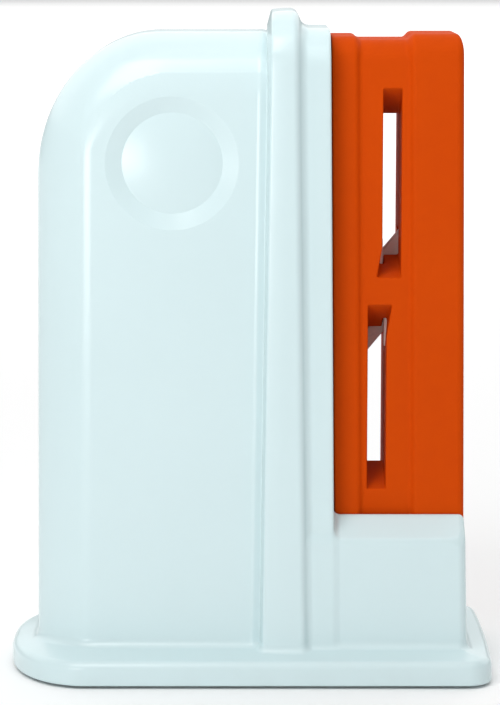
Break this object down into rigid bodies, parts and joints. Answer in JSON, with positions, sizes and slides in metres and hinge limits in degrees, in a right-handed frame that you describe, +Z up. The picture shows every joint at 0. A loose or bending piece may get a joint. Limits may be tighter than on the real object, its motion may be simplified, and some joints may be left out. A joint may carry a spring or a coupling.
{
  "type": "scissor sharpener",
  "caption": "Upright desktop sharpener for scissors: a moulded casing with a grip and a flange base, and a guide insert with two slots where ceramic stones form sharpening notches.",
  "frame": {"origin": "on the table, under the middle of the base's outline", "axes": "+X to the right towards the insert, +Y to the back, +Z up"},
  "size_m": [0.1024, 0.052, 0.14],
  "materials": {
    "white_plastic": "white moulded plastic with a soft gloss and a faint cool tint",
    "orange_plastic": "orange moulded plastic, satin",
    "ceramic": "fine fired ceramic, matt",
    "grey_plastic": "dark grey moulded plastic, matt",
    "rubber": "black rubber, matt",
    "steel": "zinc-plated steel"
  },
  "bodies": {
    "root": {"housing": "white_plastic", "insert_front": "orange_plastic", "insert_rear": "orange_plastic", "upper_bevel_stone": "ceramic", "upper_flat_stone": "ceramic", "lower_bevel_stone": "ceramic", "lower_flat_stone": "ceramic", "bottom_plate": "grey_plastic", "foot_front_left": "rubber", "foot_front_right": "rubber", "foot_rear_left": "rubber", "foot_rear_right": "rubber", "plate_screw_front_left": "steel", "plate_screw_front_right": "steel", "plate_screw_rear_left": "steel", "plate_screw_rear_right": "steel", "insert_screw_front_left": "steel", "insert_screw_front_right": "steel", "insert_screw_rear_left": "steel", "insert_screw_rear_right": "steel"}
  },
  "joints": []
}
